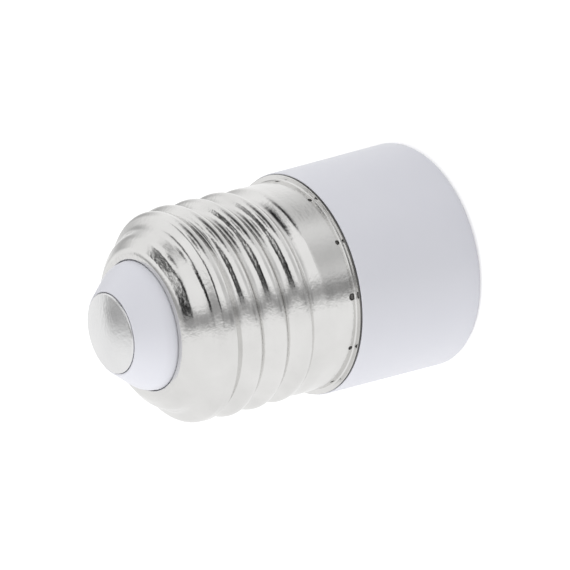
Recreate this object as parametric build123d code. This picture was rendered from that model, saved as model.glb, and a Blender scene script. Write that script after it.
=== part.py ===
from build123d import *
import math
import os

# Lamp socket adapter: a large screw cap at one end turns into a small screw socket at the other.
# All sizes are in millimetres. The origin is the centre of the open rim, the part stands on that
# rim, and +Z runs along the axis to the centre contact. +X and +Y are square to the axis.

# White moulding: the head that the fingers turn
head_height = 17.7
head_rim_radius = 14.0
head_shoulder_radius = 13.72
rim_round = 0.8
shoulder_round = 0.15
mouth_radius = 9.0
mouth_length = 4.4
mouth_depth = 4.9
mouth_chamfer = 0.5

# White moulding: the chamber under the lamp and the nose round the centre contact
chamber_radius = 6.2
chamber_floor_height = 36.5
neck_radius = 11.6
neck_step_start = 3.2
neck_step_length = 2.4
nose_gap = 0.12
nose_knee_radius = 7.38
nose_knee_height = 23.94
nose_tip_radius = 5.12
nose_tip_height = 26.6
nose_round = 0.15

# Outer screw shell, with heights above the flange seat on the head's shoulder
cap_sheet = 0.3
cap_flange_radius = 13.58
cap_flange_bend = 0.2
cap_skirt_radius = 12.88
cap_crest_radius = 13.1
cap_root_radius = 12.05
cap_pitch = 3.629
cap_arc_radius = 1.025
cap_crest_height = 15.81
cap_runout_start = 3.5
cap_runout_length = 5.0
cap_lip_radius = 12.82
cap_lip_height = 18.0
cap_lip_blend = 2.2
cap_lip_round = 1.0
cap_cone_angle = 40.5
cap_end_round = 1.8
cap_end_height = 22.45
cap_hole_radius = 7.96

# Staking marks that pin the outer shell's skirt into the neck
stake_count = 12
stake_height = 0.85
stake_ball_radius = 0.4
stake_depth = 0.38
stake_first_angle = -104.0

# Inner screw shell, which takes the small lamp cap
socket_sheet = 0.25
socket_major_radius = 7.05
socket_minor_radius = 6.22
socket_pitch = 2.822
socket_arc_radius = 0.822
socket_crest_height = 7.6
socket_rim_radius = 8.2
socket_end_height = 19.9
socket_plain_length = 0.9
socket_runout_length = 1.6

# The two tongues that carry the current from the inner shell to the outer one
tongue_width = 4.0
tongue_reach = 2.1
tongue_bend = 0.3
tongue_root = 0.1
tongue_angles = (90.0, 270.0)

# Centre contact, a rivet with a broad domed head
contact_head_radius = 4.86
contact_head_height = 0.72
contact_dome_rise = 0.55
contact_edge_round = 0.18
contact_recess = 0.45
contact_shank_radius = 1.5
contact_upset_radius = 2.3
contact_upset_height = 0.7

# Contact spring, a bent strip under the rivet's inner end
spring_width = 4.5
spring_sheet = 0.35
spring_top_height = 24.0
spring_base_reach = 3.3
spring_side_offset = 4.3
spring_lean = 0.9
spring_low_bend = 1.0
spring_high_bend = 1.6
spring_tip_reach = 3.0
spring_tip_drop = 1.3
spring_seat_depth = 0.3

# Fits
slip_gap = 0.08
slot_gap = 0.25
rivet_gap = 0.03

# How near an edge must lie to the size it is looked up by
edge_match = 0.01

# How much rolling takes off each face of the sheet
roll_thinning = 0.025

# How finely the rolled threads are drawn, and the largest arc that leaves a flank between two
points_per_turn = 36
sections_per_pitch = 9
arc_share = 0.98

# Places that follow from the sizes above
flange_seat = head_height
skirt_inside = cap_skirt_radius - cap_sheet
socket_bore_radius = socket_major_radius + socket_sheet + slip_gap
rim_recess_radius = socket_rim_radius + slip_gap
tongue_low = socket_end_height + tongue_root + tongue_bend + socket_sheet
ledge_height = tongue_low + slip_gap
nose_base_radius = cap_hole_radius - nose_gap
nose_tip = flange_seat + nose_tip_height
recess_floor = nose_tip - contact_recess
shank_hole_radius = contact_shank_radius + rivet_gap
tongue_outside = skirt_inside - slip_gap


def smooth_step(value, start, end):
    """Rises from 0 at start to 1 at end with level ends."""
    share = min(max((value - start) / (end - start), 0.0), 1.0)
    return share * share * (3 - 2 * share)


def knuckle_radius(offset, pitch, crest, root, arc, grow):
    """Radius of a rolled thread at an axial offset from its crest.

    The section is an outward arc and an inward arc joined by their common tangent. The value
    grow moves the surface out along its own normal, so the other face of the sheet uses it too.
    """
    half = pitch / 2
    depth = crest - root
    arc = min(arc, arc_share * (half * half + depth * depth) / (4 * depth))
    run = abs((offset / pitch + 0.5) % 1.0 - 0.5) * pitch
    crest_centre = crest - arc
    root_centre = root + arc
    rise = root_centre - crest_centre
    span = math.hypot(half, rise)
    normal = math.atan2(rise, half) + math.acos(2 * arc / span)
    crest_arc = arc + grow
    root_arc = arc - grow
    crest_end = crest_arc * math.cos(normal)
    root_start = half - root_arc * math.cos(normal)
    if run <= crest_end:
        return crest_centre + math.sqrt(crest_arc**2 - run**2)
    if run >= root_start:
        return root_centre - math.sqrt(root_arc**2 - (half - run) ** 2)
    level = crest_centre + crest_arc * math.sin(normal)
    return level - (run - crest_end) / math.tan(normal)


def cap_radius(height, angle, grow):
    """Radius of the outer shell's thread zone, above the flange seat, at an angle in degrees."""
    offset = height - cap_crest_height - cap_pitch * angle / 360
    thread = knuckle_radius(
        offset, cap_pitch, cap_crest_radius, cap_root_radius, cap_arc_radius, grow
    )
    rolled = smooth_step(height, cap_runout_start, cap_runout_start + cap_runout_length)
    radius = (1 - rolled) * (cap_skirt_radius + grow) + rolled * thread
    lip = smooth_step(height, cap_lip_height - cap_lip_blend, cap_lip_height)
    return (1 - lip) * radius + lip * (cap_lip_radius + grow)


def socket_radius(height, angle, grow):
    """Radius of the inner shell's thread zone, above the rim, at an angle in degrees."""
    offset = height - socket_crest_height - socket_pitch * angle / 360
    thread = knuckle_radius(
        offset,
        socket_pitch,
        socket_major_radius,
        socket_minor_radius,
        socket_arc_radius,
        grow,
    )
    start, end = socket_thread_span()
    rolled = smooth_step(height, start, start + socket_runout_length)
    rolled *= 1 - smooth_step(height, end - socket_runout_length, end)
    return (1 - rolled) * (socket_major_radius + grow) + rolled * thread


def socket_thread_span():
    """Lowest and highest height of the inner shell's rolled part."""
    start = mouth_depth + socket_plain_length
    return start, socket_end_height - socket_plain_length


def rolled_solid(radius_at, start, end, pitch, base, grow):
    """Solid inside a rolled surface, lofted through sections square to the axis."""
    steps = math.ceil((end - start) / pitch * sections_per_pitch)
    shares = [turn / points_per_turn for turn in range(points_per_turn + 1)]
    sections = []
    for step in range(steps + 1):
        height = start + (end - start) * step / steps
        points = []
        for turn in range(points_per_turn):
            angle = 360 * turn / points_per_turn
            radius = radius_at(height, angle, grow)
            points.append(Vector(radius, 0, base + height).rotate(Axis.Z, angle))
        ring = Edge.make_spline(points, periodic=True, parameters=shares)
        sections.append(make_face(ring))
    return loft(sections, ruled=True)


def rolled_tube(radius_at, start, end, pitch, base, outer, inner):
    """Sheet wall between two rolled surfaces, a little thinner than the sheet it came from."""
    block = rolled_solid(radius_at, start, end, pitch, base, outer - roll_thinning)
    core = rolled_solid(radius_at, start, end, pitch, base, inner + roll_thinning)
    return block - core


def turned(*edges):
    """Solid turned round the axis from edges drawn as radius and height."""
    return revolve(Plane.XZ * make_face(Wire(list(edges))), Axis.Z)


def turned_outline(points):
    """Solid turned round the axis from a closed outline of straight runs."""
    return turned(*Polyline(*points, close=True).edges())


def end_profile(grow):
    """Edges of the outer shell's closed end, from the lip to the hole, grown by an offset.

    They are the lip's arc, the straight cone, the arc that turns flat and the flat end.
    """
    slope = math.radians(cap_cone_angle)
    across, along = math.cos(slope), math.sin(slope)
    lip_round = cap_lip_round + grow
    end_round = cap_end_round + grow
    lip_centre = (cap_lip_radius - cap_lip_round, flange_seat + cap_lip_height)
    end_centre_height = flange_seat + cap_end_height - cap_end_round
    cone_low = (lip_centre[0] + lip_round * across, lip_centre[1] + lip_round * along)
    arc_rise = end_centre_height + end_round * along - cone_low[1]
    cone_high = (
        cone_low[0] - arc_rise * math.tan(slope),
        end_centre_height + end_round * along,
    )
    end_centre = (cone_high[0] - end_round * across, end_centre_height)
    middle = (slope + math.pi / 2) / 2
    start = (lip_centre[0] + lip_round, lip_centre[1])
    lip_middle = (
        lip_centre[0] + lip_round * math.cos(slope / 2),
        lip_centre[1] + lip_round * math.sin(slope / 2),
    )
    end_middle = (
        end_centre[0] + end_round * math.cos(middle),
        end_centre[1] + end_round * math.sin(middle),
    )
    flat_start = (end_centre[0], end_centre[1] + end_round)
    return [
        ThreePointArc(start, lip_middle, cone_low),
        Line(cone_low, cone_high),
        ThreePointArc(cone_high, end_middle, flat_start),
    ]


def shell_end():
    """Lip, cone and flat end of the outer shell, as bent sheet with a round hole."""
    outer = end_profile(0.0)
    inner = end_profile(-cap_sheet)
    outer_flat = outer[-1] @ 1
    inner_flat = inner[-1] @ 1
    hole_top = (cap_hole_radius, outer_flat.Y)
    hole_low = (cap_hole_radius, inner_flat.Y)
    return turned(
        Line(inner[0] @ 0, outer[0] @ 0),
        *outer,
        Line(outer_flat, hole_top),
        Line(hole_top, hole_low),
        Line(hole_low, inner_flat),
        *inner,
    )


def shell_skirt():
    """Plain skirt of the outer shell with its bent flange, up to the thread's run-out."""
    seat = flange_seat
    top = flange_seat + cap_runout_start
    bend = cap_flange_bend
    outer_bend = bend + cap_sheet
    outside = cap_skirt_radius
    face = seat + cap_sheet
    corner = (outside + bend, face)
    centre = (outside + bend, face + bend)
    diagonal = math.sqrt(0.5)
    return turned(
        Line((skirt_inside, top), (outside, top)),
        Line((outside, top), (outside, face + bend)),
        ThreePointArc(
            (outside, face + bend),
            (centre[0] - bend * diagonal, centre[1] - bend * diagonal),
            corner,
        ),
        Line(corner, (cap_flange_radius, face)),
        Line((cap_flange_radius, face), (cap_flange_radius, seat)),
        Line((cap_flange_radius, seat), (centre[0], seat)),
        ThreePointArc(
            (centre[0], seat),
            (
                centre[0] - outer_bend * diagonal,
                centre[1] - outer_bend * diagonal,
            ),
            (skirt_inside, centre[1]),
        ),
        Line((skirt_inside, centre[1]), (skirt_inside, top)),
    )


def stake_balls(radius):
    """Balls at the staking marks, all round the skirt."""
    centre_radius = cap_skirt_radius + stake_ball_radius - stake_depth
    height = flange_seat + cap_sheet + stake_height
    ball = Pos(centre_radius, 0, height) * Sphere(radius)
    return [
        Rot(0, 0, stake_first_angle + 360 * mark / stake_count) * ball
        for mark in range(stake_count)
    ]


def outer_screw_shell():
    """Thin plated sheet: flange, skirt, rolled thread, lip and shouldered end."""
    shell = shell_skirt() + shell_end()
    shell += rolled_tube(
        cap_radius,
        cap_runout_start,
        cap_lip_height,
        cap_pitch,
        flange_seat,
        0.0,
        -cap_sheet,
    )
    bulge = stake_balls(stake_ball_radius + cap_sheet)
    sheet_zone = turned_outline(
        [
            (neck_radius, flange_seat + cap_sheet),
            (cap_skirt_radius, flange_seat + cap_sheet),
            (cap_skirt_radius, flange_seat + cap_runout_start),
            (neck_radius, flange_seat + cap_runout_start),
        ]
    )
    for ball in bulge:
        shell += ball & sheet_zone
    for ball in stake_balls(stake_ball_radius):
        shell -= ball
    return shell


def corner_arc(centre, radius, start, middle, end):
    """Quarter arc about a centre between three directions given in degrees."""
    points = [
        (
            centre[0] + radius * math.cos(math.radians(angle)),
            centre[1] + radius * math.sin(math.radians(angle)),
        )
        for angle in (start, middle, end)
    ]
    return ThreePointArc(*points)


def tongue():
    """One tongue of the inner shell: out through the neck and back along its outside."""
    thick = socket_sheet
    bend = tongue_bend
    inside = socket_major_radius
    outside = inside + thick
    low = tongue_low
    turn = low - thick - bend
    first = (outside + bend, turn)
    second = (tongue_outside - thick - bend, turn)
    tip = low - tongue_reach
    profile = turned(
        Line((inside, socket_end_height), (inside, turn)),
        corner_arc(first, bend + thick, 180, 135, 90),
        Line((first[0], low), (second[0], low)),
        corner_arc(second, bend + thick, 90, 45, 0),
        Line((tongue_outside, turn), (tongue_outside, tip)),
        Line((tongue_outside, tip), (tongue_outside - thick, tip)),
        Line((tongue_outside - thick, tip), (tongue_outside - thick, turn)),
        corner_arc(second, bend, 0, 45, 90),
        Line((second[0], low - thick), (first[0], low - thick)),
        corner_arc(first, bend, 90, 135, 180),
        Line((outside, turn), (outside, socket_end_height)),
        Line((outside, socket_end_height), (inside, socket_end_height)),
    )
    return profile & tongue_block(tongue_width)


def tongue_block(width):
    """Block that trims a turned tongue or its groove to a strip on the +X side."""
    length = 2 * head_rim_radius
    return Pos(length / 2, 0, ledge_height) * Box(length, width, 2 * head_height)


def inner_screw_shell():
    """Rolled sheet thread for the small lamp cap, with a flared rim and two tongues."""
    start, end = socket_thread_span()
    inside = socket_major_radius
    outside = inside + socket_sheet
    seat = mouth_depth
    bend = slip_gap
    shell = turned_outline(
        [
            (inside, seat - socket_sheet),
            (socket_rim_radius, seat - socket_sheet),
            (socket_rim_radius, seat),
            (outside + bend, seat),
            (outside, seat + bend),
            (outside, start),
            (inside, start),
        ]
    )
    shell += turned_outline(
        [
            (inside, end),
            (outside, end),
            (outside, socket_end_height),
            (inside, socket_end_height),
        ]
    )
    shell += rolled_tube(
        socket_radius, start, end, socket_pitch, 0.0, socket_sheet, 0.0
    )
    for angle in tongue_angles:
        shell += Rot(0, 0, angle) * tongue()
    return shell


def neck_and_nose():
    """Turned outside of the moulding, from the open rim to the nose tip."""
    inner = end_profile(-cap_sheet - slip_gap)
    cone = inner[1]
    slope = math.tan(math.radians(cap_cone_angle))
    cone_start = cone @ 0
    reach = (cone_start.X - neck_radius) / slope
    neck_top = (neck_radius, cone_start.Y + reach)
    flat = inner[-1] @ 1
    seat = flange_seat
    neck_fit = skirt_inside - slip_gap
    step = seat + neck_step_start
    shoulder = (head_shoulder_radius, seat)
    knee = (nose_knee_radius, seat + nose_knee_height)
    tip_edge = (nose_tip_radius, nose_tip)
    edges = Polyline(
        (0, 0),
        (head_rim_radius, 0),
        shoulder,
        (neck_fit, seat),
        (neck_fit, step),
        (neck_radius, step + neck_step_length),
        neck_top,
        cone @ 1,
    ).edges()
    edges += [
        inner[-1],
        Line(flat, (nose_base_radius, flat.Y)),
        Line((nose_base_radius, flat.Y), (nose_base_radius, seat + cap_end_height)),
        TangentArc((nose_base_radius, seat + cap_end_height), knee, tangent=(0, 1)),
        Line(knee, tip_edge),
        Line(tip_edge, (0, nose_tip)),
        Line((0, nose_tip), (0, 0)),
    ]
    return turned(*edges)


def rounded_edges(body, radius, height, size):
    """Rounds the circular edge of a body at a radius and a height."""
    found = [
        edge
        for edge in body.edges().filter_by(GeomType.CIRCLE)
        if abs(edge.radius - radius) < edge_match
        and abs(edge.arc_center.Z - height) < edge_match
    ]
    return fillet(found, size)


def body_hollows():
    """One turned core: mouth, recess for the inner shell's rim, bores and contact recess."""
    lead = mouth_radius + mouth_chamfer
    return turned_outline(
        [
            (0, 0),
            (lead, 0),
            (mouth_radius, mouth_chamfer),
            (mouth_radius, mouth_length),
            (rim_recess_radius, mouth_length),
            (rim_recess_radius, mouth_depth),
            (socket_bore_radius, mouth_depth),
            (socket_bore_radius, ledge_height),
            (chamber_radius, ledge_height),
            (chamber_radius, chamber_floor_height),
            (shank_hole_radius, chamber_floor_height),
            (shank_hole_radius, recess_floor),
            (contact_head_radius + slip_gap, recess_floor),
            (contact_head_radius + slip_gap, nose_tip),
            (0, nose_tip),
        ]
    )


def tongue_slot():
    """Slot through the neck wall and groove on its outside for one tongue."""
    under = tongue_low - socket_sheet - slip_gap
    groove = tongue_outside - socket_sheet - slip_gap
    top = tongue_low - tongue_reach - slot_gap
    ring = turned_outline(
        [
            (chamber_radius + slip_gap, under),
            (groove, under),
            (groove, top),
            (cap_skirt_radius, top),
            (cap_skirt_radius, ledge_height),
            (chamber_radius + slip_gap, ledge_height),
        ]
    )
    return ring & tongue_block(tongue_width + 2 * slot_gap)


def insulating_body():
    """One white moulding: head, neck inside the outer shell, and nose."""
    body = neck_and_nose()
    body = rounded_edges(body, head_rim_radius, 0, rim_round)
    body = rounded_edges(body, head_shoulder_radius, flange_seat, shoulder_round)
    body = rounded_edges(body, nose_tip_radius, nose_tip, nose_round)
    body -= body_hollows()
    for angle in tongue_angles:
        body -= Rot(0, 0, angle) * tongue_slot()
    seat_length = spring_base_reach + spring_side_offset + spring_low_bend
    channel = Box(
        seat_length,
        spring_width + 2 * slot_gap,
        spring_seat_depth,
        align=(Align.MIN, Align.CENTER, Align.MIN),
    )
    body -= Pos(-spring_base_reach - slot_gap, 0, chamber_floor_height) * channel
    for ball in stake_balls(stake_ball_radius + cap_sheet + slip_gap):
        body -= ball
    return body


def dome(rim_radius, rim_height, rise):
    """Arc of a ball centred on the axis, from a rim to the axis."""
    ball = (rim_radius**2 + rise**2) / (2 * abs(rise))
    drop = ball - math.sqrt(ball**2 - (rim_radius / 2) ** 2)
    middle = rim_height + rise - math.copysign(drop, rise)
    return ThreePointArc(
        (rim_radius, rim_height), (rim_radius / 2, middle), (0, rim_height + rise)
    )


def centre_contact_rivet():
    """Broad domed head outside, shank through the floor and an upset end inside."""
    radius = contact_head_radius
    shank = contact_shank_radius
    upset = contact_upset_radius
    base = recess_floor
    edge = base + contact_head_height
    inner_end = chamber_floor_height + spring_seat_depth - spring_sheet
    side = (radius, edge - contact_edge_round)
    rim = (radius - contact_edge_round, edge)
    crown = dome(rim[0], edge, contact_dome_rise)
    tail = dome(upset, inner_end, -contact_upset_height)
    return turned(
        tail,
        Line((upset, inner_end), (shank, inner_end)),
        Line((shank, inner_end), (shank, base)),
        Line((shank, base), (radius, base)),
        Line((radius, base), side),
        TangentArc(side, rim, tangent=(0, 1)),
        crown,
        Line(crown @ 1, tail @ 1),
    )


def contact_spring():
    """Strip riveted to the floor, bent up one side and back over the axis."""
    seat = chamber_floor_height + spring_seat_depth
    base = seat - spring_sheet / 2
    top = spring_top_height + spring_sheet / 2
    route = FilletPolyline(
        (-spring_base_reach, 0, base),
        (spring_side_offset, 0, base),
        (spring_side_offset - spring_lean, 0, top),
        (0, 0, top - spring_sheet / 2),
        (-spring_tip_reach, 0, top + spring_tip_drop),
        radius=[spring_low_bend, spring_high_bend, spring_high_bend],
    )
    strip = sweep(
        Plane(route @ 0, x_dir=(0, 1, 0), z_dir=route % 0)
        * Rectangle(spring_width, spring_sheet),
        path=route,
    )
    hole = Pos(0, 0, seat) * Cylinder(shank_hole_radius, 4 * spring_sheet)
    return strip - hole


nodes = {
    "insulating_body": insulating_body,
    "outer_screw_shell": outer_screw_shell,
    "inner_screw_shell": inner_screw_shell,
    "centre_contact_rivet": centre_contact_rivet,
    "contact_spring": contact_spring,
}

os.makedirs("parts", exist_ok=True)
for name, make in nodes.items():
    solid = make()
    export_step(solid, f"parts/{name}.step")
    box = solid.bounding_box()
    print(name, round(solid.volume, 1), box.min, box.max)
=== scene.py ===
import logging
import math
from dataclasses import dataclass, field
from enum import Enum
from typing import Callable, Sequence

import bmesh
import bpy
from mathutils import Matrix, Vector


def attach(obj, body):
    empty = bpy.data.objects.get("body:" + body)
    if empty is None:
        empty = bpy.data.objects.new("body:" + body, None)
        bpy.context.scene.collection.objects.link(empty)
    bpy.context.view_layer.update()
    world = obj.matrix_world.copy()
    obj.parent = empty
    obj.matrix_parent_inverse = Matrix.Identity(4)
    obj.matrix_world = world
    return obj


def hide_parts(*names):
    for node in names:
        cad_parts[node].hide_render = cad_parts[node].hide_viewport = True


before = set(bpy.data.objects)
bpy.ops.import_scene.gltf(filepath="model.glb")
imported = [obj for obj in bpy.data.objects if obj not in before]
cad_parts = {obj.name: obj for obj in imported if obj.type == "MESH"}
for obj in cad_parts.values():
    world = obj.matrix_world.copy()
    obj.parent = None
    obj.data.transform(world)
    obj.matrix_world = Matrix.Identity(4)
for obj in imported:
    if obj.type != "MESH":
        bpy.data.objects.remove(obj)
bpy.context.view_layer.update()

# A lamp socket adapter that stands on its open rim: a plated screw cap on a white moulded head.
# Sizes are in millimetres and become metres where a mesh is made. Angles are in degrees.
# A thread's arcs may grow to ARC_SHARE of the radius at which its straight flank would vanish.

MM = 0.001
BODY = "root"
ARC_SHARE = 0.98
Triple = tuple[float, float, float]
Colour = Triple
log = logging.getLogger("scene")


class Slot(Enum):
    """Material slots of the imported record."""

    MOULDING = "white_moulding"
    CAP = "plated_shell"
    SOCKET = "socket_shell"
    CONTACT = "contact_metal"
    SPRING = "spring_metal"


class Node(Enum):
    """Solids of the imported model."""

    MOULDING = "insulating_body"
    CAP = "outer_screw_shell"
    SOCKET = "inner_screw_shell"
    CONTACT = "centre_contact_rivet"
    SPRING = "contact_spring"


def smooth_step(value: float, start: float, end: float) -> float:
    """Rises from 0 at start to 1 at end with level ends.

    Args:
        value: Place between the two ends.
        start: Where the rise begins.
        end: Where the rise is complete.

    Returns:
        A share between 0 and 1.
    """
    share = min(max((value - start) / (end - start), 0.0), 1.0)
    return share * share * (3 - 2 * share)


# ---- Turned and rolled meshes


@dataclass(frozen=True)
class Corner:
    """One corner of a turned outline, with the radius that rounds it."""

    radius: float
    height: float
    rounding: float = 0.0


@dataclass
class Outline:
    """An outline beside the axis that is turned all the way round it."""

    corners: Sequence[Corner]
    closed: bool = False
    arc_segments: int = 6
    longest_run: float = 1.2

    def turn(self, steps: int) -> bmesh.types.BMesh:
        """Draws the outline, rounds its corners and spins it.

        Args:
            steps: How many faces go round the axis.

        Returns:
            The turned surface, in metres.
        """
        shape = bmesh.new()
        points = [shape.verts.new((c.radius * MM, 0, c.height * MM)) for c in self.corners]
        followers = points[1:] + points[:1] if self.closed else points[1:]
        for point, follower in zip(points, followers):
            shape.edges.new((point, follower))
        for place in range(len(points)):
            self._round(shape, place)
        self._divide(shape)
        bmesh.ops.spin(
            shape,
            geom=shape.verts[:] + shape.edges[:],
            cent=(0, 0, 0),
            axis=(0, 0, 1),
            dvec=(0, 0, 0),
            angle=2 * math.pi,
            steps=steps,
            use_merge=True,
            use_duplicate=False,
        )
        bmesh.ops.remove_doubles(shape, verts=shape.verts, dist=0.0005 * MM)
        bmesh.ops.recalc_face_normals(shape, faces=shape.faces)
        return shape

    def _round(self, shape: bmesh.types.BMesh, place: int) -> None:
        """Bevels one corner to its rounding.

        Args:
            shape: The outline as a chain of edges.
            place: Number of the corner.
        """
        corner = self.corners[place]
        if corner.rounding <= 0:
            return
        centre = Vector((corner.radius, 0, corner.height)) * MM
        point = min(shape.verts, key=lambda vert: (vert.co - centre).length)
        ways = [(edge.other_vert(point).co - centre).normalized() for edge in point.link_edges]
        offset = corner.rounding * MM / math.tan(ways[0].angle(ways[1]) / 2)
        bmesh.ops.bevel(
            shape,
            geom=[point],
            offset=offset,
            offset_type="OFFSET",
            affect="VERTICES",
            segments=self.arc_segments,
            profile=0.5,
            material=-1,
        )

    def _divide(self, shape: bmesh.types.BMesh) -> None:
        """Splits long straight runs, so that faces stay nearly square.

        Args:
            shape: The outline as a chain of edges.
        """
        for edge in shape.edges[:]:
            cuts = math.ceil(edge.calc_length() / (self.longest_run * MM)) - 1
            if cuts > 0:
                bmesh.ops.subdivide_edges(shape, edges=[edge], cuts=cuts)


@dataclass(frozen=True)
class KnuckleThread:
    """A thread rolled into sheet: two arcs with their common tangent, on a right-hand helix."""

    pitch: float
    crest: float
    root: float
    arc: float
    crest_height: float

    def radius(self, height: float, angle: float) -> float:
        """Radius of the rolled surface.

        Args:
            height: Height in the frame.
            angle: Angle round the axis, in degrees.

        Returns:
            The radius in millimetres.
        """
        half = self.pitch / 2
        depth = self.crest - self.root
        arc = min(self.arc, ARC_SHARE * (half * half + depth * depth) / (4 * depth))
        turns = (height - self.crest_height) / self.pitch - angle / 360
        run = abs((turns + 0.5) % 1.0 - 0.5) * self.pitch
        crest_centre = self.crest - arc
        root_centre = self.root + arc
        rise = root_centre - crest_centre
        normal = math.atan2(rise, half) + math.acos(2 * arc / math.hypot(half, rise))
        flank_start = arc * math.cos(normal)
        if run <= flank_start:
            return crest_centre + math.sqrt(arc**2 - run**2)
        if run >= half - flank_start:
            return root_centre - math.sqrt(arc**2 - (half - run) ** 2)
        level = crest_centre + arc * math.sin(normal)
        return level - (run - flank_start) / math.tan(normal)


def roll(
    shape: bmesh.types.BMesh, low: float, high: float, radius: Callable[[float, float], float]
) -> None:
    """Presses a turned wall in and out to a radius that depends on height and angle.

    Args:
        shape: The turned wall, in metres.
        low: Height at which the rolled zone starts, in millimetres.
        high: Height at which it ends.
        radius: Gives the new radius from the height and the angle in degrees.
    """
    for vert in shape.verts:
        height = vert.co.z / MM
        if low < height < high:
            angle = math.degrees(math.atan2(vert.co.y, vert.co.x))
            flat = vert.co.xy.normalized() * radius(height, angle) * MM
            vert.co.xy = flat


def as_piece(
    shape: bmesh.types.BMesh,
    name: str,
    finish: bpy.types.Material,
    crease: float = 40.0,
) -> bpy.types.Object:
    """Turns a finished shape into a piece that rides on the adapter.

    Args:
        shape: The shape, in metres, in the frame's place. It is freed.
        name: Name of the piece.
        finish: Its material.
        crease: Angle above which an edge stays sharp.

    Returns:
        The new object.
    """
    mesh = bpy.data.meshes.new(name)
    shape.to_mesh(mesh)
    shape.free()
    mesh.shade_smooth()
    mesh.set_sharp_from_angle(angle=math.radians(crease))
    mesh.materials.append(finish)
    piece = bpy.data.objects.new(name, mesh)
    bpy.context.collection.objects.link(piece)
    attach(piece, BODY)
    return piece


def thicken(piece: bpy.types.Object, sheet: float, way: float) -> None:
    """Gives a surface the thickness of its sheet.

    Args:
        piece: The surface.
        sheet: Thickness in millimetres.
        way: -1 to grow against the normals, 1 to grow along them.
    """
    solid = piece.modifiers.new("sheet", "SOLIDIFY")
    solid.thickness = sheet * MM
    solid.offset = way
    solid.use_even_offset = True
    solid.use_rim = True


# ---- Finishes


class NodeDesk:
    """A material's node tree, with short ways to add and join nodes."""

    def __init__(self, name: str) -> None:
        """Makes an empty material with a principled shader.

        Args:
            name: Name of the material.
        """
        self.material = bpy.data.materials.new(name)
        self.material.use_nodes = True
        self.tree = self.material.node_tree
        self.tree.nodes.clear()
        self.shader = self.add("ShaderNodeBsdfPrincipled")
        output = self.add("ShaderNodeOutputMaterial")
        self.join(self.shader.outputs["BSDF"], output.inputs["Surface"])
        self.place = self.add("ShaderNodeTexCoord").outputs["Object"]

    def add(self, kind: str, **settings: object) -> bpy.types.Node:
        """Adds a node and sets its properties.

        Args:
            kind: Type of the node.
            settings: Properties of the node by name.

        Returns:
            The node.
        """
        node = self.tree.nodes.new(kind)
        for key, value in settings.items():
            setattr(node, key, value)
        return node

    def join(self, source: bpy.types.NodeSocket, target: bpy.types.NodeSocket) -> None:
        """Links two sockets."""
        self.tree.links.new(source, target)

    def set(self, **values: object) -> None:
        """Sets the shader's own sockets.

        Args:
            values: Socket values, with _ for each blank in a socket's name.
        """
        for key, value in values.items():
            self.shader.inputs[key.replace("_", " ")].default_value = value

    def noise(self, scale: Triple, detail: float, size: float = 1.0) -> bpy.types.NodeSocket:
        """Adds noise on object coordinates.

        Args:
            scale: Stretch of the pattern along each axis, per metre.
            detail: Number of octaves.
            size: Scale of the noise itself.

        Returns:
            The noise's value socket.
        """
        mapping = self.add("ShaderNodeMapping")
        mapping.inputs["Scale"].default_value = scale
        self.join(self.place, mapping.inputs["Vector"])
        noise = self.add("ShaderNodeTexNoise")
        noise.inputs["Scale"].default_value = size
        noise.inputs["Detail"].default_value = detail
        self.join(mapping.outputs["Vector"], noise.inputs["Vector"])
        return noise.outputs["Fac"]

    def spread(
        self,
        value: bpy.types.NodeSocket,
        low: float,
        high: float,
        start: float = 0.3,
        end: float = 0.7,
    ) -> bpy.types.NodeSocket:
        """Maps a noise value to a range.

        Args:
            value: The noise.
            low: Result at start.
            high: Result at end.
            start: Noise value that gives low.
            end: Noise value that gives high.

        Returns:
            The mapped value's socket.
        """
        ranged = self.add("ShaderNodeMapRange")
        limits = {"From Min": start, "From Max": end, "To Min": low, "To Max": high}
        for key, number in limits.items():
            ranged.inputs[key].default_value = number
        self.join(value, ranged.inputs["Value"])
        return ranged.outputs["Result"]

    def tint(self, value: bpy.types.NodeSocket, first: Colour, second: Colour) -> None:
        """Blends two colours by a value into the shader's base colour.

        Args:
            value: Share of the second colour.
            first: Colour where the value is 0.
            second: Colour where the value is 1.
        """
        mix = self.add("ShaderNodeMix", data_type="RGBA")
        self.join(value, mix.inputs["Factor"])
        mix.inputs["A"].default_value = (*first, 1)
        mix.inputs["B"].default_value = (*second, 1)
        self.join(mix.outputs["Result"], self.shader.inputs["Base Color"])

    def bump(self, heights: Sequence[tuple[bpy.types.NodeSocket, float]]) -> None:
        """Stacks bumps onto the shader's normal.

        Args:
            heights: Each height socket with its depth in millimetres.
        """
        normal = None
        for height, depth in heights:
            bump = self.add("ShaderNodeBump")
            bump.inputs["Distance"].default_value = depth * MM
            self.join(height, bump.inputs["Height"])
            if normal:
                self.join(normal, bump.inputs["Normal"])
            normal = bump.outputs["Normal"]
        self.join(normal, self.shader.inputs["Normal"])


@dataclass(frozen=True)
class PlatedMetal:
    """Plated sheet or turned metal with fine lines round the axis and a faint cloudiness."""

    name: str
    colour: Colour
    dull_colour: Colour
    smooth: float
    rough: float
    line_depth: float = 0.012
    line_scale: Triple = (180.0, 180.0, 2600.0)
    grain_depth: float = 0.02
    grain_scale: Triple = (2200.0, 2200.0, 2200.0)
    cloud_scale: Triple = (160.0, 160.0, 160.0)

    def build(self) -> bpy.types.Material:
        """Makes the material.

        Returns:
            The plated metal.
        """
        desk = NodeDesk(self.name)
        desk.set(Metallic=1.0)
        cloud = desk.noise(self.cloud_scale, 3.0)
        lines = desk.noise(self.line_scale, 2.0)
        grain = desk.noise(self.grain_scale, 2.0)
        desk.tint(desk.spread(cloud, 0.0, 1.0), self.colour, self.dull_colour)
        desk.join(desk.spread(lines, self.smooth, self.rough), desk.shader.inputs["Roughness"])
        desk.bump([(lines, self.line_depth), (grain, self.grain_depth)])
        return desk.material


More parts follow.
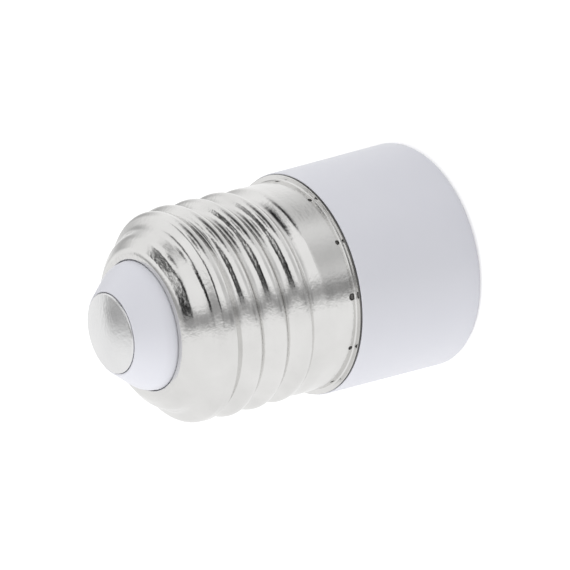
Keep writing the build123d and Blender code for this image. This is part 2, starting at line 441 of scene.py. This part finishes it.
@dataclass(frozen=True)
class SatinPlastic:
    """White thermoset moulding, faintly cool, with a fine moulded skin."""

    name: str
    colour: Colour
    shade: Colour
    roughness: tuple[float, float] = (0.34, 0.44)
    skin_depth: float = 0.002
    skin_scale: Triple = (900.0, 900.0, 900.0)
    cloud_scale: Triple = (70.0, 70.0, 70.0)

    def build(self) -> bpy.types.Material:
        """Makes the material.

        Returns:
            The white plastic.
        """
        desk = NodeDesk(self.name)
        desk.set(IOR=1.5, Subsurface_Weight=0.08, Subsurface_Scale=0.6 * MM)
        desk.shader.inputs["Subsurface Radius"].default_value = (1.0, 1.0, 1.0)
        cloud = desk.noise(self.cloud_scale, 2.0)
        skin = desk.noise(self.skin_scale, 2.0)
        desk.tint(desk.spread(cloud, 0.0, 1.0), self.colour, self.shade)
        desk.join(desk.spread(skin, *self.roughness), desk.shader.inputs["Roughness"])
        desk.bump([(skin, self.skin_depth)])
        return desk.material


# ---- The adapter's pieces


@dataclass(frozen=True)
class CapEnd:
    """Lip, hollow ring, shoulder and flat end of the screw cap, at any offset from its face."""

    lip_radius: float = 12.82
    lip_height: float = 35.7
    bends: tuple[Corner, ...] = (
        Corner(12.82, 36.3, 1.0),
        Corner(11.2, 37.25, -1.5),
        Corner(10.5, 38.9, 1.8),
        Corner(9.0, 40.15, 1.2),
    )

    def corners(self, grow: float) -> list[Corner]:
        """Corners from the lip to the flat end. A hollow bend has a negative rounding.

        Args:
            grow: Offset from the cap's outer face, negative towards the inside.

        Returns:
            The corners, each with a positive rounding.
        """
        places = [Vector((self.lip_radius, self.lip_height))]
        places += [Vector((bend.radius, bend.height)) for bend in self.bends]
        places.append(Vector((0, self.bends[-1].height)))
        runs = [(after - before).normalized() for before, after in zip(places, places[1:])]
        normals = [Vector((run.y, -run.x)) for run in runs]
        moved = []
        for bend, place, first, second in zip(self.bends, places[1:], normals, normals[1:]):
            spot = place + (first + second) * grow / (1 + first.dot(second))
            moved.append(Corner(spot.x, spot.y, abs(bend.rounding + grow)))
        return moved


@dataclass
class HeadMoulding:
    """White moulding: head, neck inside the cap, nose round the contact, and its hollows."""

    finish: SatinPlastic
    end: CapEnd
    steps: int = 256
    head_height: float = 17.7
    rim_radius: float = 14.0
    shoulder_radius: float = 13.72
    rim_round: float = 0.8
    shoulder_round: float = 0.15
    neck_fit: float = 12.5
    neck_radius: float = 11.6
    neck_step: float = 20.9
    neck_step_length: float = 2.4
    neck_top: float = 36.4
    cap_offset: float = -0.38
    nose_base: float = 7.84
    nose_turn: float = 40.966
    nose_turn_round: float = 2.64
    nose_tip: float = 5.12
    nose_tip_height: float = 44.3
    nose_round: float = 0.15
    recess_radius: float = 4.94
    recess_floor: float = 43.85
    shank_hole: float = 1.53
    chamber_floor: float = 36.5
    chamber: float = 6.2
    ledge: float = 20.53
    bore: float = 7.38
    mouth: float = 9.0
    mouth_length: float = 4.4
    rim_recess: float = 8.28
    mouth_depth: float = 4.9
    mouth_chamfer: float = 0.5

    def outline(self) -> list[Corner]:
        """Corners of the turned outline, from the contact's recess round to the rivet hole.

        Returns:
            The corners in order.
        """
        bends = self.end.corners(self.cap_offset)
        return [
            Corner(self.recess_radius, self.recess_floor),
            Corner(self.recess_radius, self.nose_tip_height),
            Corner(self.nose_tip, self.nose_tip_height, self.nose_round),
            Corner(self.nose_base, self.nose_turn, self.nose_turn_round),
            Corner(self.nose_base, bends[-1].height),
            *reversed(bends[1:]),
            Corner(self.neck_radius, self.neck_top),
            Corner(self.neck_radius, self.neck_step + self.neck_step_length),
            Corner(self.neck_fit, self.neck_step),
            Corner(self.neck_fit, self.head_height),
            Corner(self.shoulder_radius, self.head_height, self.shoulder_round),
            Corner(self.rim_radius, 0, self.rim_round),
            Corner(self.mouth + self.mouth_chamfer, 0, 0.2),
            Corner(self.mouth, self.mouth_chamfer, 0.2),
            Corner(self.mouth, self.mouth_length),
            Corner(self.rim_recess, self.mouth_length, 0.1),
            Corner(self.rim_recess, self.mouth_depth),
            Corner(self.bore, self.mouth_depth),
            Corner(self.bore, self.ledge),
            Corner(self.chamber, self.ledge, 0.2),
            Corner(self.chamber, self.chamber_floor),
            Corner(self.shank_hole, self.chamber_floor),
            Corner(self.shank_hole, self.recess_floor),
        ]

    def build(self) -> bpy.types.Object:
        """Turns the moulding.

        Returns:
            The white head.
        """
        shape = Outline(self.outline(), closed=True).turn(self.steps)
        piece = as_piece(shape, "white_head", self.finish.build())
        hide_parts(Node.MOULDING.value)
        return piece


@dataclass
class ScrewCap:
    """Plated sheet cap: flange, dimpled skirt, rolled thread, lip, cone and flat end."""

    finish: PlatedMetal
    # Dark material with painted shade for the dimples and the sheet's cut edges.
    shaded_pressed: PlatedMetal
    end: CapEnd
    steps: int = 288
    thread_cuts: int = 118
    seat: float = 17.7
    sheet: float = 0.3
    flange_radius: float = 13.58
    flange_bend: float = 0.2
    skirt_radius: float = 12.88
    hole_radius: float = 7.96
    runout_start: float = 3.5
    runout_length: float = 5.0
    lip_blend: float = 2.2
    thread: KnuckleThread = field(
        default_factory=lambda: KnuckleThread(3.629, 13.1, 12.05, 1.025, 33.51)
    )
    dimple_first: float = -104.0
    dimple_height: float = 0.5
    dimple_radii: tuple[float, ...] = (
        *(0.4, 0.26, 0.24, 0.28, 0.25, 0.27),
        *(0.24, 0.26, 0.28, 0.24, 0.26, 0.25),
    )
    dimple_depth: float = 0.3
    dimple_cuts: int = 3

    def radius(self, height: float, angle: float) -> float:
        """Radius of the cap's outer face in the thread zone.

        Args:
            height: Height in the frame.
            angle: Angle round the axis.

        Returns:
            The radius in millimetres.
        """
        start = self.seat + self.runout_start
        rolled = smooth_step(height, start, start + self.runout_length)
        radius = (1 - rolled) * self.skirt_radius + rolled * self.thread.radius(height, angle)
        lip = smooth_step(height, self.end.lip_height - self.lip_blend, self.end.lip_height)
        return (1 - lip) * radius + lip * self.end.lip_radius

    def _dimple(self, shape: bmesh.types.BMesh, angle: float, radius: float) -> None:
        """Presses one staking dimple into the skirt and gives it the dark material: painted shade
        in its pocket, over the punched metal's duller finish.

        Args:
            shape: The cap's outer face.
            angle: Where the dimple is, round the axis.
            radius: Radius of the dimple.
        """
        turn = Matrix.Rotation(math.radians(angle), 3, "Z")
        across = turn @ Vector((0, 1, 0))
        out = turn @ Vector((1, 0, 0))
        centre = out * self.skirt_radius * MM
        centre.z = (self.seat + self.sheet + self.dimple_height) * MM

        def distance(point: Vector) -> float:
            """Distance of a point from the dimple's middle, along the skirt."""
            away = point - centre
            same_side = away.dot(out) > -1 * MM
            return math.hypot(away.dot(across), away.z) / MM if same_side else math.inf

        near = [face for face in shape.faces if distance(face.calc_center_median()) < 2 * radius]
        edges = list({edge for face in near for edge in face.edges})
        bmesh.ops.subdivide_edges(shape, edges=edges, cuts=self.dimple_cuts, use_grid_fill=True)
        floor = (self.seat + self.sheet + self.flange_bend) * MM
        for vert in shape.verts:
            away = distance(vert.co)
            if away < radius and vert.co.z > floor:
                share = math.sqrt(1 - (away / radius) ** 2)
                vert.co -= out * self.dimple_depth * share * MM
                for face in vert.link_faces:
                    # The dark material paints the shade in the dimple's pocket.
                    face.material_index = 1

    def build(self) -> bpy.types.Object:
        """Draws, rolls and dimples the cap.

        Returns:
            The plated cap.
        """
        face = self.seat + self.sheet
        start = self.seat + self.runout_start
        bends = self.end.corners(0.0)
        corners = [
            Corner(self.flange_radius, face),
            Corner(self.skirt_radius, face, self.flange_bend),
            Corner(self.skirt_radius, start),
            Corner(self.skirt_radius, self.end.lip_height - self.lip_blend),
            *bends,
            Corner(self.hole_radius, bends[-1].height),
        ]
        fine = (self.end.lip_height - start) / self.thread_cuts
        shape = Outline(corners, arc_segments=8, longest_run=fine).turn(self.steps)
        roll(shape, start, self.end.lip_height, self.radius)
        step = 360 / len(self.dimple_radii)
        for mark, radius in enumerate(self.dimple_radii):
            self._dimple(shape, self.dimple_first + step * mark, radius)
        piece = as_piece(shape, "screw_cap", self.finish.build(), crease=50.0)
        # Second material: its dark colour is painted shade for the dimples and the sheet's cut
        # edges.
        piece.data.materials.append(self.shaded_pressed.build())
        thicken(piece, self.sheet, -1)
        # The cut edges of the sheet take the dimples' dark material: painted shade, drawing the
        # dark line along the flange's edge.
        piece.modifiers["sheet"].material_offset_rim = 1
        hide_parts(Node.CAP.value)
        return piece


@dataclass
class CentreContact:
    """Rivet with a broad domed head in the nose and an upset end inside."""

    finish: PlatedMetal
    steps: int = 192
    head_radius: float = 4.86
    base: float = 43.85
    head_height: float = 0.72
    dome_rise: float = 0.55
    edge_round: float = 0.18
    shank: float = 1.5
    upset: float = 2.3
    inner_end: float = 36.45
    upset_height: float = 0.7

    def build(self) -> bpy.types.Object:
        """Turns the rivet and domes both of its ends.

        Returns:
            The contact.
        """
        edge = self.base + self.head_height
        corners = [
            Corner(0, edge),
            Corner(self.head_radius, edge, self.edge_round),
            Corner(self.head_radius, self.base),
            Corner(self.shank, self.base),
            Corner(self.shank, self.inner_end),
            Corner(self.upset, self.inner_end),
            Corner(0, self.inner_end - 0.001),
        ]
        shape = Outline(corners, longest_run=0.4).turn(self.steps)
        flat = self.head_radius - self.edge_round
        for vert in shape.verts:
            away = vert.co.xy.length / MM
            if vert.co.z > (edge - 0.0005) * MM and away < flat:
                vert.co.z += self.dome_rise * (1 - (away / flat) ** 2) * MM
            elif vert.co.z < self.inner_end * MM and away < self.upset:
                vert.co.z -= self.upset_height * (1 - (away / self.upset) ** 2) * MM
        piece = as_piece(shape, "centre_contact", self.finish.build())
        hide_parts(Node.CONTACT.value)
        return piece


@dataclass
class SocketShell:
    """Inner screw shell for the small lamp cap, with a flared rim and two tongues."""

    finish: PlatedMetal
    steps: int = 192
    sheet: float = 0.25
    inside: float = 7.05
    rim_radius: float = 8.2
    rim_height: float = 4.65
    start: float = 5.8
    stop: float = 19.0
    top: float = 19.9
    runout: float = 1.6
    thread_cuts: int = 100
    thread: KnuckleThread = field(
        default_factory=lambda: KnuckleThread(2.822, 7.05, 6.22, 0.822, 7.6)
    )
    tongue_width: float = 4.0
    tongue_outside: float = 12.5
    tongue_low: float = 20.55
    tongue_tip: float = 18.45
    tongue_bend: float = 0.45
    tongue_angles: tuple[float, float] = (90.0, 270.0)

    def radius(self, height: float, angle: float) -> float:
        """Radius of the shell's inner face in the thread zone.

        Args:
            height: Height in the frame.
            angle: Angle round the axis.

        Returns:
            The radius in millimetres.
        """
        rolled = smooth_step(height, self.start, self.start + self.runout)
        rolled *= 1 - smooth_step(height, self.stop - self.runout, self.stop)
        return (1 - rolled) * self.inside + rolled * self.thread.radius(height, angle)

    def _tongue(self, angle: float, finish: bpy.types.Material) -> bpy.types.Object:
        """Bends one tongue out over the neck and back along its outside.

        Args:
            angle: Where the tongue is, round the axis.
            finish: The shell's material.

        Returns:
            The tongue.
        """
        middle = self.sheet / 2
        stops = [
            (self.inside + middle, self.top),
            (self.inside + middle, self.tongue_low - middle),
            (self.tongue_outside - middle, self.tongue_low - middle),
            (self.tongue_outside - middle, self.tongue_tip),
        ]
        shape = bmesh.new()
        side = -self.tongue_width / 2 * MM
        points = [shape.verts.new((out * MM, side, height * MM)) for out, height in stops]
        for point, follower in zip(points, points[1:]):
            shape.edges.new((point, follower))
        for point in points[1:3]:
            bmesh.ops.bevel(
                shape,
                geom=[point],
                offset=self.tongue_bend * MM,
                offset_type="OFFSET",
                affect="VERTICES",
                segments=5,
                profile=0.5,
                material=-1,
            )
        strip = bmesh.ops.extrude_edge_only(shape, edges=shape.edges[:])
        moved = [part for part in strip["geom"] if isinstance(part, bmesh.types.BMVert)]
        bmesh.ops.translate(shape, verts=moved, vec=(0, self.tongue_width * MM, 0))
        turn = Matrix.Rotation(math.radians(angle), 3, "Z")
        bmesh.ops.rotate(shape, verts=shape.verts, cent=(0, 0, 0), matrix=turn)
        bmesh.ops.recalc_face_normals(shape, faces=shape.faces)
        piece = as_piece(shape, f"tongue_{angle:.0f}", finish)
        thicken(piece, self.sheet, 0)
        return piece

    def build(self) -> list[bpy.types.Object]:
        """Flares and rolls the shell and bends its tongues.

        Returns:
            The shell and the two tongues.
        """
        fine = (self.stop - self.start) / self.thread_cuts
        corners = [
            Corner(self.rim_radius, self.rim_height),
            Corner(self.inside, self.rim_height, 0.15),
            Corner(self.inside, self.top),
        ]
        shape = Outline(corners, longest_run=fine).turn(self.steps)
        roll(shape, self.start, self.stop, self.radius)
        outward = sum(f.normal.xy.dot(f.calc_center_median().xy) > 0 for f in shape.faces)
        if outward > len(shape.faces) / 2:
            bmesh.ops.reverse_faces(shape, faces=shape.faces)
        finish = self.finish.build()
        shell = as_piece(shape, "socket_shell", finish)
        thicken(shell, self.sheet, -1)
        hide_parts(Node.SOCKET.value)
        return [shell, *(self._tongue(angle, finish) for angle in self.tongue_angles)]


@dataclass
class ContactSpring:
    """Bent strip under the rivet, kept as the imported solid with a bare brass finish."""

    finish: PlatedMetal

    def build(self) -> bpy.types.Object:
        """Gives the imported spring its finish.

        Returns:
            The spring.
        """
        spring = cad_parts[Node.SPRING.value]
        material = self.finish.build()
        spring.data.materials.clear()
        spring.data.materials.append(material)
        return spring


# ---- Studio


@dataclass
class PhotoCamera:
    """Long lens from the contact's side, rolled so that the adapter lies on its side.

    aim is the place of the axis point at aim_height: picture right, down and forward.
    """

    picture: int = 570
    focal: float = 4360.0
    sensor: float = 36.0
    tilt: float = 57.6
    roll: float = 14.8
    aim_height: float = 17.7
    aim: Triple = (1.32, -0.08, 526.1)

    def axes(self) -> Matrix:
        """The frame's axes seen in the picture.

        Returns:
            Rows of X, Y and Z, each as picture right, down and forward.
        """
        tilt, turn = math.radians(self.tilt), math.radians(self.roll)
        lean, stand = math.sin(tilt), math.cos(tilt)
        right, down = math.cos(turn), -math.sin(turn)
        axis = Vector((lean * right, lean * down, stand))
        front = Vector((stand * right, stand * down, -lean))
        side = Vector((-down, right, 0))
        return Matrix((-side, -front, -axis))

    def build(self) -> bpy.types.Object:
        """Makes the camera and gives it to the scene.

        Returns:
            The camera.
        """
        axes = self.axes()
        place = Vector((0, 0, self.aim_height)) - axes @ Vector(self.aim)
        data = bpy.data.cameras.new("photo_camera")
        data.sensor_width = self.sensor
        data.lens = self.focal / self.picture * self.sensor
        data.clip_start = 10 * MM
        data.clip_end = 10.0
        camera = bpy.data.objects.new("photo_camera", data)
        lens_axes = ((1, 0, 0), (0, -1, 0), (0, 0, -1))
        turn = Matrix([axes @ Vector(lens_axis) for lens_axis in lens_axes])
        camera.matrix_world = Matrix.Translation(place * MM) @ turn.transposed().to_4x4()
        bpy.context.collection.objects.link(camera)
        bpy.context.scene.camera = camera
        return camera


@dataclass(frozen=True)
class Card:
    """A studio card with soft edges, placed by where the adapter sees it, in picture directions."""

    name: str
    way: Triple
    width: float
    height: float
    shade: float
    softness: float = 0.35
    distance: float = 300.0
    along: Triple = (0.2, -1.0, 0.2)


@dataclass(frozen=True)
class Band:
    """A soft-edged strip that goes round the adapter square to a direction."""

    name: str
    way: Triple
    radius: float
    height: float
    shade: float
    softness: float = 0.5
    along: Triple = (0.1, 0.0, -1.0)
    span: float = 230.0
    steps: int = 96


@dataclass(frozen=True)
class Lamp:
    """A square soft lamp that the metal doesn't show, placed as a card is."""

    name: str
    way: Triple
    power: float
    size: float = 500.0
    distance: float = 600.0
    along: Triple = (0.2, 0.1, 1.0)


@dataclass
class Studio:
    """White tent, soft lamps, cards that the metal reflects, and a pale floor."""

    camera: PhotoCamera
    middle: float = 26.0
    tent: float = 0.74
    floor_gap: float = 0.1
    floor_half: float = 3000.0
    floor_shade: Colour = (0.8, 0.8, 0.8)
    floor_lift: float = 0.5
    cards: Sequence[Card] = (
        Card("roof_gap", (0.0, -0.98, -0.06), 280.0, 280.0, 0.0, 0.45),
        Card("roof_corner", (0.16, -0.95, -0.3), 210.0, 210.0, 0.0, 0.45),
        Card("lens_gap", (-0.386, -0.81, -0.44), 150.0, 150.0, 0.0, 0.45),
        Card(
            "lens_hood", (-0.53, -0.06, -0.84), 135.0, 350.0, 0.0, 0.25, along=(-0.15, -0.95, 0.1)
        ),
        Card(
            "flank_gap", (-0.74, -0.48, -0.4), 60.0, 330.0, 0.0, 0.25, along=(-0.14, -0.3, 0.97)
        ),
        Card("left_back", (-0.55, -0.39, 0.73), 300.0, 300.0, 0.45, 0.5),
        Card("right_wall", (0.75, -0.5, -0.35), 420.0, 420.0, 0.6, 0.5, 330.0),
        Card("right_edge", (0.91, 0.0, -0.38), 260.0, 110.0, 0.3, 0.5, along=(0.0, -1.0, 0.0)),
        Card("roof_shade", (0.3, -0.9, 0.15), 520.0, 520.0, 0.68, 0.5, 340.0),
    )
    band: Band = Band("tent_gap", (-0.12, -0.97, -0.185), 310.0, 190.0, 0.35)
    lamps: Sequence[Lamp] = (
        Lamp("upper_lamp", (-0.3, -1.0, -0.2), 0.8),
        Lamp("lower_lamp", (-0.3, 1.0, -0.2), 1.3),
    )

    def _direction(self, way: Triple) -> Vector:
        """Direction in the frame of a direction in the picture."""
        return (self.camera.axes() @ Vector(way)).normalized()

    def _place(self, way: Triple, along: Triple, distance: float) -> Matrix:
        """Place that looks back at the adapter from a direction.

        Args:
            way: Direction from the adapter, in the picture.
            along: Direction in the picture that Y follows as nearly as it can.
            distance: Distance in millimetres.

        Returns:
            The place, with Z towards the adapter.
        """
        back = -self._direction(way)
        side = self._direction(along).cross(back).normalized()
        turn = Matrix((side, back.cross(side), back)).transposed()
        centre = Vector((0, 0, self.middle)) * MM - back * distance * MM
        return Matrix.Translation(centre) @ turn.to_4x4()

    def _soft_shade(
        self, name: str, shade: float, softness: float, axes: Sequence[int]
    ) -> bpy.types.Material:
        """Makes a card's material, which fades out towards its edges.

        Args:
            name: Name of the material.
            shade: Grey of the card, from 0 to 1.
            softness: Share of the card that fades.
            axes: Axes of the card's own box that fade.

        Returns:
            The material.
        """
        material = bpy.data.materials.new(name)
        material.use_nodes = True
        nodes, links = material.node_tree.nodes, material.node_tree.links
        nodes.clear()
        split = nodes.new("ShaderNodeSeparateXYZ")
        links.new(nodes.new("ShaderNodeTexCoord").outputs["Generated"], split.inputs[0])
        cover = None
        for axis in axes:
            away = nodes.new("ShaderNodeMath")
            away.operation = "PINGPONG"
            away.inputs[1].default_value = 0.5
            links.new(split.outputs[axis], away.inputs[0])
            fade = nodes.new("ShaderNodeMapRange")
            fade.interpolation_type = "SMOOTHSTEP"
            fade.inputs["From Max"].default_value = softness
            links.new(away.outputs[0], fade.inputs["Value"])
            if cover:
                both = nodes.new("ShaderNodeMath")
                both.operation = "MULTIPLY"
                links.new(cover, both.inputs[0])
                links.new(fade.outputs["Result"], both.inputs[1])
                cover = both.outputs[0]
            else:
                cover = fade.outputs["Result"]
        glow = nodes.new("ShaderNodeEmission")
        glow.inputs["Color"].default_value = (shade, shade, shade, 1)
        mix = nodes.new("ShaderNodeMixShader")
        links.new(cover, mix.inputs["Fac"])
        links.new(nodes.new("ShaderNodeBsdfTransparent").outputs[0], mix.inputs[1])
        links.new(glow.outputs[0], mix.inputs[2])
        output = nodes.new("ShaderNodeOutputMaterial")
        links.new(mix.outputs[0], output.inputs["Surface"])
        return material

    def _hang(
        self, name: str, shape: bmesh.types.BMesh, finish: bpy.types.Material, place: Matrix
    ) -> None:
        """Hangs a card that the camera doesn't see.

        Args:
            name: Name of the card.
            shape: Its shape, which is freed.
            finish: Its material.
            place: Where it hangs.
        """
        mesh = bpy.data.meshes.new(name)
        shape.to_mesh(mesh)
        shape.free()
        mesh.materials.append(finish)
        board = bpy.data.objects.new(name, mesh)
        board.matrix_world = place
        board.visible_camera = False
        board.visible_diffuse = False
        board.visible_shadow = False
        bpy.context.collection.objects.link(board)

    def _card(self, card: Card) -> None:
        """Hangs one flat card.

        Args:
            card: Its place, size and shade.
        """
        shape = bmesh.new()
        bmesh.ops.create_grid(shape, x_segments=1, y_segments=1, size=0.5 * MM)
        bmesh.ops.scale(shape, verts=shape.verts, vec=(card.width, card.height, 1))
        finish = self._soft_shade(card.name, card.shade, card.softness, (0, 1))
        self._hang(card.name, shape, finish, self._place(card.way, card.along, card.distance))

    def _ring(self, band: Band) -> None:
        """Hangs the strip that goes round the camera's side of the adapter.

        Args:
            band: Its direction, size and shade.
        """
        shape = bmesh.new()
        half = band.height * MM / 2
        ends = [shape.verts.new((0, band.radius * MM, height)) for height in (-half, half)]
        shape.edges.new(ends)
        start = Matrix.Rotation(-math.radians(band.span) / 2, 3, "Z")
        bmesh.ops.rotate(shape, verts=ends, cent=(0, 0, 0), matrix=start)
        bmesh.ops.spin(
            shape,
            geom=shape.verts[:] + shape.edges[:],
            cent=(0, 0, 0),
            axis=(0, 0, 1),
            dvec=(0, 0, 0),
            angle=math.radians(band.span),
            steps=band.steps,
            use_duplicate=False,
        )
        finish = self._soft_shade(band.name, band.shade, band.softness, (2,))
        self._hang(band.name, shape, finish, self._place(band.way, band.along, 0.0))

    def _world(self) -> None:
        """Fills the tent with white that is weaker for soft light than for what is seen."""
        world = bpy.data.worlds.new("tent")
        bpy.context.scene.world = world
        world.use_nodes = True
        nodes, links = world.node_tree.nodes, world.node_tree.links
        nodes.clear()
        path = nodes.new("ShaderNodeLightPath")
        seen = nodes.new("ShaderNodeMath")
        seen.operation = "MAXIMUM"
        links.new(path.outputs["Is Camera Ray"], seen.inputs[0])
        mirrored = nodes.new("ShaderNodeMath")
        mirrored.operation = "MAXIMUM"
        links.new(path.outputs["Is Glossy Ray"], mirrored.inputs[0])
        links.new(path.outputs["Is Transmission Ray"], mirrored.inputs[1])
        links.new(mirrored.outputs[0], seen.inputs[1])
        soft = nodes.new("ShaderNodeBackground")
        soft.inputs["Strength"].default_value = self.tent
        plain = nodes.new("ShaderNodeBackground")
        mix = nodes.new("ShaderNodeMixShader")
        for background in (soft, plain):
            background.inputs["Color"].default_value = (1, 1, 1, 1)
        links.new(seen.outputs[0], mix.inputs["Fac"])
        links.new(soft.outputs[0], mix.inputs[1])
        links.new(plain.outputs[0], mix.inputs[2])
        output = nodes.new("ShaderNodeOutputWorld")
        links.new(mix.outputs[0], output.inputs["Surface"])

    def _floor(self) -> bpy.types.Object:
        """Lays a pale floor under the open rim.

        Returns:
            The floor.
        """
        shape = bmesh.new()
        bmesh.ops.create_grid(shape, x_segments=1, y_segments=1, size=self.floor_half * MM)
        mesh = bpy.data.meshes.new("floor")
        shape.to_mesh(mesh)
        shape.free()
        material = bpy.data.materials.new("pale_floor")
        material.use_nodes = True
        nodes, links = material.node_tree.nodes, material.node_tree.links
        nodes.clear()
        path = nodes.new("ShaderNodeLightPath")
        matt = nodes.new("ShaderNodeBsdfDiffuse")
        matt.inputs["Color"].default_value = (*self.floor_shade, 1)
        glow = nodes.new("ShaderNodeEmission")
        lift = nodes.new("ShaderNodeMath")
        lift.operation = "MULTIPLY"
        lift.inputs[1].default_value = self.floor_lift
        links.new(path.outputs["Is Camera Ray"], lift.inputs[0])
        links.new(lift.outputs[0], glow.inputs["Strength"])
        both = nodes.new("ShaderNodeAddShader")
        links.new(matt.outputs[0], both.inputs[0])
        links.new(glow.outputs[0], both.inputs[1])
        output = nodes.new("ShaderNodeOutputMaterial")
        links.new(both.outputs[0], output.inputs["Surface"])
        mesh.materials.append(material)
        floor = bpy.data.objects.new("floor", mesh)
        floor.location.z = -self.floor_gap * MM
        floor.visible_glossy = False
        bpy.context.collection.objects.link(floor)
        return floor

    def _light(self, lamp: Lamp) -> None:
        """Hangs one lamp.

        Args:
            lamp: Its place, size and power.
        """
        data = bpy.data.lights.new(lamp.name, "AREA")
        data.shape = "SQUARE"
        data.size = lamp.size * MM
        data.energy = lamp.power
        light = bpy.data.objects.new(lamp.name, data)
        place = self._place(lamp.way, lamp.along, lamp.distance)
        light.matrix_world = place @ Matrix.Rotation(math.pi, 4, "X")
        light.visible_glossy = False
        bpy.context.collection.objects.link(light)

    def build(self) -> None:
        """Sets up the light, the cards and the floor."""
        self._world()
        self._floor()
        for card in self.cards:
            self._card(card)
        self._ring(self.band)
        for lamp in self.lamps:
            self._light(lamp)
        bpy.context.scene.view_settings.view_transform = "Standard"


# ---- Finishes used, and the whole model


NICKEL = PlatedMetal(
    "bright_nickel",
    colour=(0.78, 0.775, 0.765),
    dull_colour=(0.7, 0.695, 0.685),
    smooth=0.12,
    rough=0.21,
)
# Dark colour: painted shade for the dimples' pockets and the sheet's cut edges. The roughness is
# the punched metal's own dullness.
SHADED_PRESSED_NICKEL = PlatedMetal(
    "shaded_pressed_nickel",
    colour=(0.2, 0.195, 0.19),
    dull_colour=(0.1, 0.098, 0.095),
    smooth=0.4,
    rough=0.55,
)
SATIN_NICKEL = PlatedMetal(
    "satin_nickel",
    colour=(0.8, 0.8, 0.8),
    dull_colour=(0.76, 0.76, 0.765),
    smooth=0.2,
    rough=0.28,
)
SOCKET_NICKEL = PlatedMetal(
    "socket_nickel",
    colour=(0.8, 0.785, 0.75),
    dull_colour=(0.73, 0.715, 0.68),
    smooth=0.2,
    rough=0.32,
)
SPRING_BRASS = PlatedMetal(
    "spring_brass",
    colour=(0.8, 0.66, 0.38),
    dull_colour=(0.7, 0.56, 0.3),
    smooth=0.22,
    rough=0.36,
)
WHITE_PLASTIC = SatinPlastic(
    "white_plastic", colour=(0.8, 0.805, 0.86), shade=(0.78, 0.785, 0.845)
)


def main() -> None:
    """Builds the adapter and its studio in order."""
    logging.basicConfig(level=logging.INFO, format="%(name)s: %(message)s")
    camera = PhotoCamera()
    camera.build()
    end = CapEnd()
    pieces = [
        HeadMoulding(WHITE_PLASTIC, end).build(),
        ScrewCap(NICKEL, SHADED_PRESSED_NICKEL, end).build(),
        CentreContact(SATIN_NICKEL).build(),
        *SocketShell(SOCKET_NICKEL).build(),
        ContactSpring(SPRING_BRASS).build(),
    ]
    for piece in pieces:
        log.info("%s has %d faces", piece.name, len(piece.data.polygons))
    Studio(camera).build()


if __name__ == "__main__":
    main()
